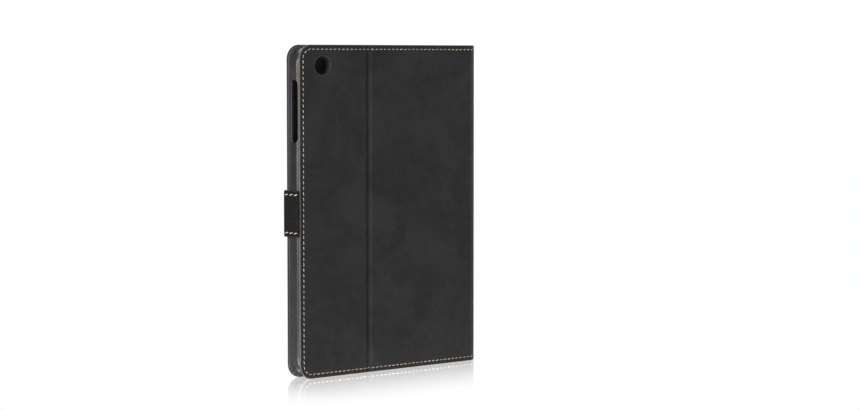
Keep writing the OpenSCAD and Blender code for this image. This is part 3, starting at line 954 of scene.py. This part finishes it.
def tray_ring(d, y):
    """The tray's outline at distance d inside its outer face."""
    r = TRAY_R - d
    x0, x1, z0, z1 = TRAY_LOW[0] + d, TRAY_HIGH[0] - d, TRAY_LOW[2] + d, TRAY_HIGH[2] - d
    points = []
    corners = ((x1 - r, z1 - r, 0), (x0 + r, z1 - r, 90), (x0 + r, z0 + r, 180), (x1 - r, z0 + r, 270))
    for cx, cz, start in corners:
        points += [(a, y, b) for a, b in arc(cx, cz, r, start, start + 90, 14)]
    return points


def quarter(radius, start, stop, steps=6):
    return [(radius * math.cos(math.radians(start + (stop - start) * i / steps)),
             radius * math.sin(math.radians(start + (stop - start) * i / steps))) for i in range(steps + 1)]


def tray_mesh():
    back, front = TRAY_HIGH[1], TRAY_LOW[1]
    section = [(FLOOR_REACH, back)]
    section += [(TRAY_BACK_R - u, back - TRAY_BACK_R + v) for u, v in quarter(TRAY_BACK_R, 90, 0)]
    section += [(TRAY_FRONT_R - u, front + TRAY_FRONT_R - v) for u, v in quarter(TRAY_FRONT_R, 0, 90)]
    section += [(LIP_IN - 0.12, front), (LIP_IN, front + 0.3)]
    section += [(LIP_IN, front + 0.6), (LIP_IN - 0.2, front + LIP_T)]
    section += [(WALL_T + 0.3, front + LIP_T), (WALL_T, front + LIP_T + 0.3), (WALL_T, BAY_BACK - 0.4)]
    section += [(WALL_T + 0.1, BAY_BACK - 0.12), (WALL_T + 0.4, BAY_BACK), (FLOOR_REACH, BAY_BACK)]
    return loft("tpu_tray_moulding", [tray_ring(d, y) for d, y in section], smooth_angle=60)


def stadium(length, width, steps=10):
    """Slot outline, long way first."""
    half = length / 2 - width / 2
    points = [(half + a, b) for a, b in arc(0, 0, width / 2, -90, 90, steps)]
    points += [(-half + a, b) for a, b in arc(0, 0, width / 2, 90, 270, steps)]
    return points


def slot_cutter(length, at, across):
    """Cutter with a rounded mouth. at() turns along, through and outward into a point, and across is the
    wall's outer face."""
    mouth = ((0.9, 1.5), (0.9, 0.2), (0.48, 0.0), (0.22, -0.14), (0.06, -0.34), (0.0, -0.6))
    mouth += ((0.0, -WALL_T - 2),)
    rings = []
    for grow, out in mouth:
        rings.append([at(u, v, across + out) for u, v in stadium(length + 2 * grow, SLOT_W + 2 * grow)])
    return loft("cutter", rings)


def tray_cuts():
    z_button = TRAY_HIGH[2] - BUTTON_TOP - BUTTON_L / 2
    x_mid = (TRAY_LOW[0] + TRAY_HIGH[0]) / 2
    x_socket = TRAY_LOW[0] + SOCKET_FROM_EDGE
    x_power = TRAY_HIGH[0] - POWER_FROM_EDGE
    yield slot_cutter(BUTTON_L, lambda u, v, w: (w, SLOT_Y + v, z_button + u), TRAY_HIGH[0])
    yield slot_cutter(PORT_L, lambda u, v, w: (x_mid + u, SLOT_Y + v, -w), -TRAY_LOW[2])
    yield slot_cutter(SOCKET_L, lambda u, v, w: (x_socket + u, SLOT_Y + v, w), TRAY_HIGH[2])
    yield slot_cutter(POWER_L, lambda u, v, w: (x_power + u, SLOT_Y + v, w), TRAY_HIGH[2])
    rings = [ellipse(TRAY_HOLE_HALF_W, TRAY_HOLE_HALF_H, WINDOW_X, y, WINDOW_Z)
             for y in (BAY_BACK - 1, TRAY_HIGH[1] + 1)]
    yield loft("cutter", rings)


tray = tray_mesh()
for cutter in tray_cuts():
    cut(tray, cutter)
dress(tray, TPU, ["tpu_tray"], body="tray")


# ---------------------------------------------------------------- stand ridges inside the front cover

def ridges():
    """Three long bars with rounded ends and a domed section."""
    low, high = box_mm("stand_ridges")
    width, length = 3.0, high[2] - low[2]
    middle_z = (low[2] + high[2]) / 2
    step = (high[0] - low[0] - width) / 2
    levels = ((0, low[1] - 0.05), (0, low[1] + 0.22), (0.25, low[1] + 0.48), (0.75, high[1]))
    outline = stadium(length, width, 8)
    count = len(outline)
    points, faces = [], []
    for n in range(3):
        x = low[0] + width / 2 + n * step
        base = len(points)
        for shrink, y in levels:
            across, along = 1 - 2 * shrink / width, 1 - 2 * shrink / length
            points += [(x + v * across, y, middle_z + u * along) for u, v in outline]
        for r in range(len(levels) - 1):
            for i in range(count):
                j = (i + 1) % count
                faces.append([base + r * count + i, base + r * count + j,
                              base + (r + 1) * count + j, base + (r + 1) * count + i])
        faces.append([base + i for i in range(count)])
        faces.append([base + (len(levels) - 1) * count + i for i in range(count)])
    return new_object("stand_ridge_bars", np.array(points) * MM, faces, 60)


dress(ridges(), PLAIN_LINING, ["stand_ridges"], body="front_cover")


# ---------------------------------------------------------------- CAD nodes that stay, all inside the case

KEPT = {
    "tray_adhesive": ADHESIVE, "narrow_back_board": BOARD, "wide_back_board": BOARD, "spine_board": BOARD,
    "front_board": BOARD, "strap_tail": PLAIN_LEATHER, "keeper_plate": STEEL, "clasp_magnet": STEEL}
for node_name, kept_material in KEPT.items():
    paint(frame["nodes"][node_name], kept_material)


# ---------------------------------------------------------------- floor, light and camera

WORLD_SEEN, WORLD_LIGHT = 1.05, 0.30
MIRROR_FLOOR_LEVEL = 0.36
MIRROR_GAIN = 2.13
FADE_START, FADE_END = -40, 105


def floor_material():
    """White floor with a mirror that fades away from the case. Where the mirror shows the world, its light
    and the floor's own add up to white."""
    m = Nodes("studio_floor", (0.9, 0.9, 0.9), 0.6)
    tree = m.tree
    white = tree.nodes.new("ShaderNodeEmission")
    white.inputs["Strength"].default_value = 1.0
    level = tree.nodes.new("ShaderNodeEmission")
    level.inputs["Strength"].default_value = MIRROR_FLOOR_LEVEL
    mirror = tree.nodes.new("ShaderNodeBsdfGlossy")
    mirror.inputs["Roughness"].default_value = 0.07
    mirror.inputs["Color"].default_value = (MIRROR_GAIN, MIRROR_GAIN, MIRROR_GAIN, 1)
    both = tree.nodes.new("ShaderNodeAddShader")
    m.link(mirror.outputs[0], both.inputs[0])
    m.link(level.outputs[0], both.inputs[1])
    # distance from the case's footprint
    away = m.mm
    steps = (("ABSOLUTE", None), ("SUBTRACT", (75, 8, 0)), ("MAXIMUM", (0, 0, 0)), ("LENGTH", None))
    for operation, numbers in steps:
        node = tree.nodes.new("ShaderNodeVectorMath")
        node.operation = operation
        m.link(away, node.inputs[0])
        if numbers:
            node.inputs[1].default_value = numbers
        away = node.outputs["Value" if operation == "LENGTH" else "Vector"]
    mix = tree.nodes.new("ShaderNodeMixShader")
    m.link(m.ramp(away, FADE_START, FADE_END, 1.0, 0.0), mix.inputs["Fac"])
    m.link(white.outputs[0], mix.inputs[1])
    m.link(both.outputs[0], mix.inputs[2])
    output = [n for n in tree.nodes if n.type == "OUTPUT_MATERIAL"][0]
    m.link(mix.outputs[0], output.inputs["Surface"])
    return m.material


def make_floor():
    size = 6.0
    corners = [(-size, -size, 0), (size, -size, 0), (size, size, 0), (-size, size, 0)]
    floor = new_object("floor", corners, [[0, 1, 2, 3]])
    paint(floor, floor_material())


def area_light(name, place, target, size, watts, size_y=None):
    data = bpy.data.lights.new(name, "AREA")
    data.shape = "RECTANGLE"
    data.size = size
    data.size_y = size_y or size
    data.energy = watts
    light = bpy.data.objects.new(name, data)
    bpy.context.scene.collection.objects.link(light)
    light.location = place
    light.visible_camera = False
    light.rotation_euler = (Vector(target) - Vector(place)).to_track_quat("-Z", "Y").to_euler()


def make_world(seen, lighting):
    """White backdrop that is brighter to look at than the soft light that it gives."""
    world = bpy.data.worlds.new("studio")
    world.use_nodes = True
    tree = world.node_tree
    background = tree.nodes["Background"]
    background.inputs["Color"].default_value = (1, 1, 1, 1)
    rays = tree.nodes.new("ShaderNodeLightPath")
    level = tree.nodes.new("ShaderNodeMapRange")
    level.inputs["To Min"].default_value = lighting
    level.inputs["To Max"].default_value = seen
    tree.links.new(rays.outputs["Is Camera Ray"], level.inputs["Value"])
    tree.links.new(level.outputs["Result"], background.inputs["Strength"])
    bpy.context.scene.world = world


CAMERA_PLACE = (0.93965, 1.12480, 0.19988)
CAMERA_PITCH, CAMERA_HEADING = -3.68, 138.93
CAMERA_LENS = 95.84


def make_camera():
    data = bpy.data.cameras.new("camera")
    data.lens = CAMERA_LENS
    data.sensor_width = 36.0
    camera = bpy.data.objects.new("camera", data)
    bpy.context.scene.collection.objects.link(camera)
    camera.location = CAMERA_PLACE
    camera.rotation_euler = (math.radians(90 + CAMERA_PITCH), 0, math.radians(CAMERA_HEADING))
    bpy.context.scene.camera = camera


make_floor()
make_world(WORLD_SEEN, WORLD_LIGHT)
MIDDLE, STRIP_TARGET = (0, 0, 0.1), (0, 0, 0.12)
area_light("strip_left", (1.1, 0.28, 0.45), STRIP_TARGET, size=0.30, watts=27, size_y=0.9)
area_light("edge_right", (-1.4, 0.07, 0.30), STRIP_TARGET, size=0.20, watts=5.5, size_y=0.9)
area_light("soft_back", (0.55, 1.5, 1.1), MIDDLE, size=0.9, watts=1.5)
area_light("soft_front", (-0.5, -1.5, 0.9), MIDDLE, size=1.0, watts=16)
make_camera()
bpy.context.scene.view_settings.view_transform = "Standard"
